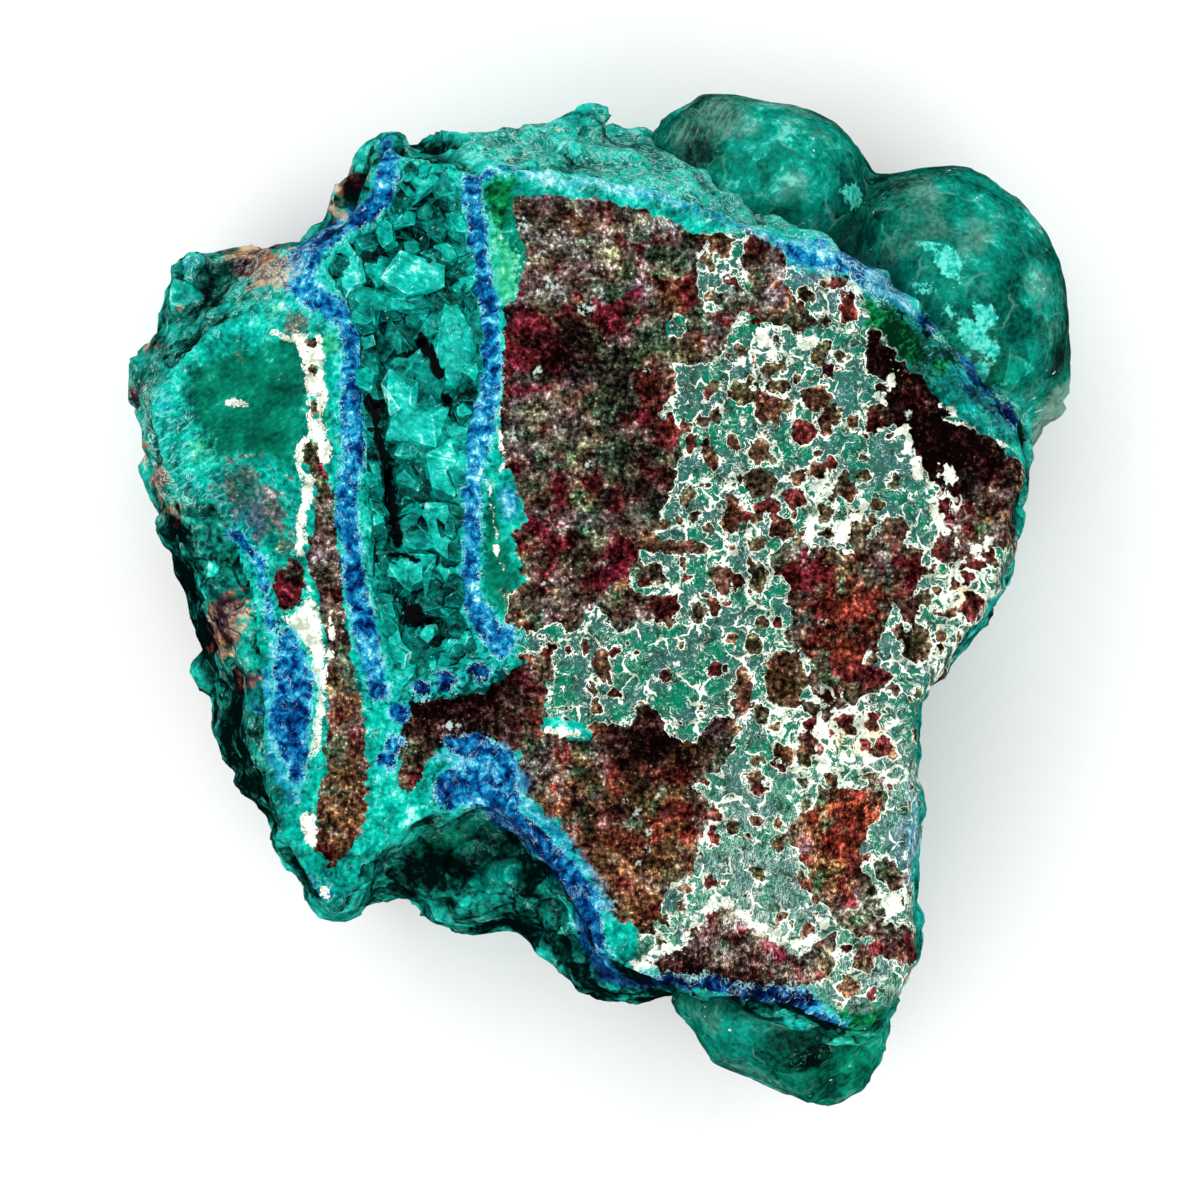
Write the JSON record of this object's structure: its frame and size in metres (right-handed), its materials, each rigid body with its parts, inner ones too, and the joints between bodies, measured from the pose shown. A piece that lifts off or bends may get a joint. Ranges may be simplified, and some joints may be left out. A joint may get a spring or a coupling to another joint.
{
  "type": "dioptase specimen",
  "caption": "Sawn hand specimen of copper ore lying on its back, with a crystal-lined vein pocket down its polished face and glassy green lobes on its edge.",
  "frame": {"origin": "under the middle of the specimen's bounding box, on the surface that it rests on", "axes": "+Z out of the polished face, up; +Y up the face, towards the edge with the two green lobes; +X to the face's right"},
  "size_m": [0.057, 0.0613, 0.022],
  "materials": {
    "ore": "sawn and polished on the face, rough broken crust elsewhere",
    "pocket_crystals": "glassy crystal faces",
    "upper_lobes": "glassy, waxy where it is broken",
    "foot_lobe": "glassy, waxy where it is broken"
  },
  "bodies": {
    "root": {"matrix_rock": "ore", "pocket_crystal_crust": "pocket_crystals", "upper_green_lobes": "upper_lobes", "foot_green_lobe": "foot_lobe"}
  },
  "joints": []
}
